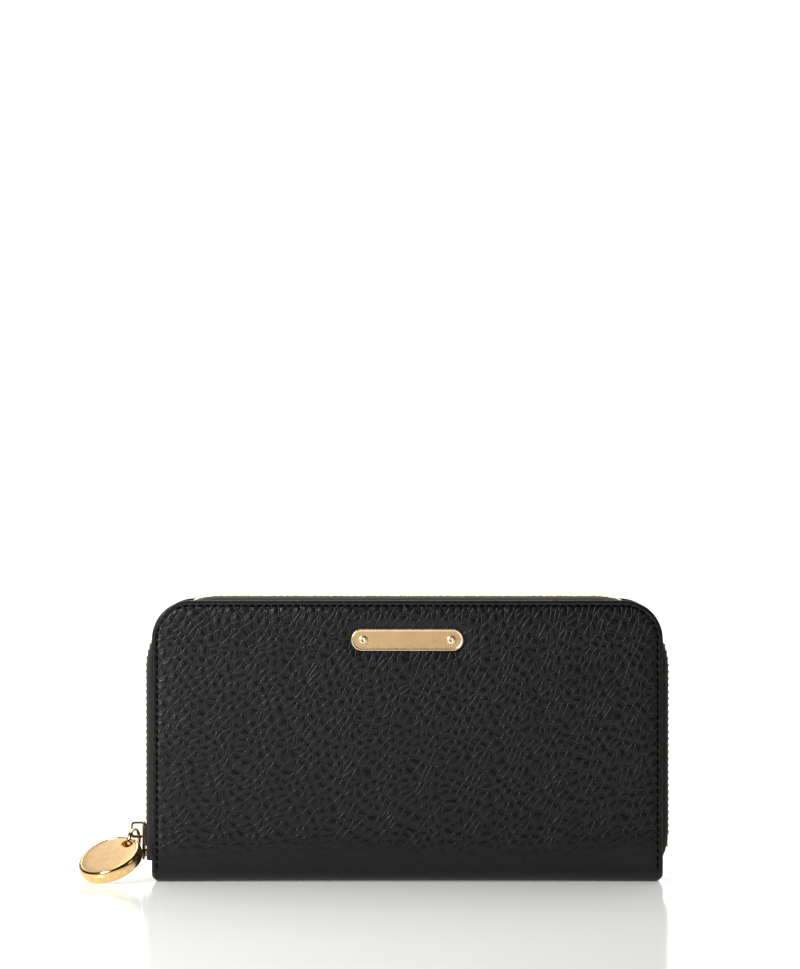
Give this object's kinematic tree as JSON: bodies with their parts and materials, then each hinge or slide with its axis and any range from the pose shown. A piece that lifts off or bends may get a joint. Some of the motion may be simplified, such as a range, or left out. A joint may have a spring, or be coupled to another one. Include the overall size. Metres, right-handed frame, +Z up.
{
  "type": "zip around wallet",
  "caption": "Long zip around wallet in pebbled leather, with a hinged cover, card pockets, a zipped coin leaf, a nameplate and a round fob on the zip slider.",
  "frame": {"origin": "middle of the spine's underside, on the surface that the wallet stands on", "axes": "+X along the spine to the right, -Y out of the front cover, +Z up from the spine to the zip"},
  "size_m": [0.2252, 0.034, 0.1087],
  "materials": {
    "outer_leather": "tumbled pebble grain, semi matt black",
    "inner_leather": "fine smooth black",
    "board": "plain grey stiffening board",
    "lining": "woven black lining",
    "zip_tape": "woven black tape",
    "zip_metal": "polished teeth",
    "antique_brass": "darkened satin",
    "plate_gold": "satin with raised polished rim",
    "polished_gold": "satin face, polished rim"
  },
  "bodies": {
    "back_half": {"back_board": "board", "back_card_panel": "lining", "back_card_pocket_1": "inner_leather", "back_card_pocket_2": "inner_leather", "back_card_pocket_3": "inner_leather", "back_leather": "outer_leather", "back_lining": "lining", "gusset_left_back": "inner_leather", "gusset_right_back": "inner_leather", "spine_board": "board", "spine_leather": "outer_leather", "spine_lining": "lining", "zip_bottom_stop": "zip_metal", "zip_end_tab_left": "inner_leather", "zip_end_tab_right": "inner_leather", "zip_tape_back": "zip_tape", "zip_teeth_back": "zip_metal", "zip_top_stop_back": "zip_metal"},
    "front_half": {"front_board": "board", "front_card_panel": "lining", "front_card_pocket_1": "inner_leather", "front_card_pocket_2": "inner_leather", "front_card_pocket_3": "inner_leather", "front_fold": "outer_leather", "front_leather": "outer_leather", "front_lining": "lining", "gusset_left_front": "inner_leather", "gusset_right_front": "inner_leather", "name_plate": "plate_gold", "plate_rivet_left": "plate_gold", "plate_rivet_right": "plate_gold", "rivet_burr_left": "antique_brass", "rivet_burr_right": "antique_brass", "zip_tape_front": "zip_tape", "zip_teeth_front": "zip_metal", "zip_top_stop_front": "zip_metal"},
    "coin_leaf": {"coin_edge": "lining", "coin_wall_back": "lining", "coin_wall_front": "lining", "coin_zip_chain": "zip_metal", "coin_zip_tape_back": "zip_tape", "coin_zip_tape_front": "zip_tape"},
    "zip_slider": {"slider_body": "antique_brass"},
    "pull_ring": {"pull_ring": "polished_gold"},
    "fob": {"fob": "polished_gold"},
    "coin_slider": {"coin_slider": "antique_brass"},
    "coin_pull": {"coin_pull": "antique_brass"}
  },
  "joints": [
    {"name": "cover_open", "type": "hinge", "parent": "back_half", "child": "front_half", "pos_m": [0, -0.0085, 0.004], "axis": [1, 0, 0], "range_deg": [0, 65], "deforming": ["front_fold", "gusset_left_front", "gusset_right_front"]},
    {"name": "coin_leaf_tilt", "type": "hinge", "parent": "back_half", "child": "coin_leaf", "pos_m": [0, 0, 0.004], "axis": [1, 0, 0], "range_deg": [0, 32.5], "deforming": ["gusset_left_back", "gusset_right_back"]},
    {"name": "zip_slide", "type": "slide", "parent": "back_half", "child": "zip_slider", "axis": [0, 0, 1], "range_m": [0, 0.056], "deforming": ["zip_teeth_front", "zip_teeth_back"]},
    {"name": "ring_swing", "type": "hinge", "parent": "zip_slider", "child": "pull_ring", "pos_m": [-0.1036, 0, 0.0161], "axis": [1, 0, 0], "range_deg": [-25, 12]},
    {"name": "fob_swing", "type": "hinge", "parent": "pull_ring", "child": "fob", "pos_m": [-0.10453, -0.00256, 0.01452], "axis": [0.9397, -0.342, 0], "range_deg": [-40, 8]},
    {"name": "coin_zip_slide", "type": "slide", "parent": "coin_leaf", "child": "coin_slider", "axis": [1, 0, 0], "range_m": [0, 0.148]},
    {"name": "coin_pull_swing", "type": "hinge", "parent": "coin_slider", "child": "coin_pull", "pos_m": [-0.074, 0, 0.0942], "axis": [0, -1, 0], "range_deg": [0, 150]}
  ],
  "couplings": [
    {"joint": "coin_leaf_tilt", "follows": "cover_open", "ratio": 0.5}
  ]
}
